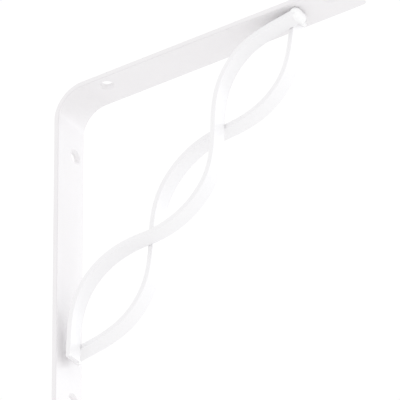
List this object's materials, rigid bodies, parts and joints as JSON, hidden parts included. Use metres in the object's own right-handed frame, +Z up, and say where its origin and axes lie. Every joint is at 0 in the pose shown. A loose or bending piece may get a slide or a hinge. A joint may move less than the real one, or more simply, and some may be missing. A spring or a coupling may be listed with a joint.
{
  "type": "decorative shelf bracket",
  "caption": "L-shaped flat steel shelf bracket, painted white, with a diagonal brace of crossing wavy strips and countersunk screw holes in both arms.",
  "frame": {"origin": "on the back of the wall arm, at mid width, midway between its two screw holes", "axes": "+X out from the wall along the shelf arm, +Y across the bar's width, +Z up"},
  "size_m": [0.205, 0.025, 0.218],
  "materials": {
    "white_painted_bar": "satin white paint on steel",
    "white_painted_strips": "satin white paint on steel"
  },
  "bodies": {
    "root": {"bracket_bar": "white_painted_bar", "brace_strip_near": "white_painted_strips", "brace_strip_far": "white_painted_strips"}
  },
  "joints": []
}
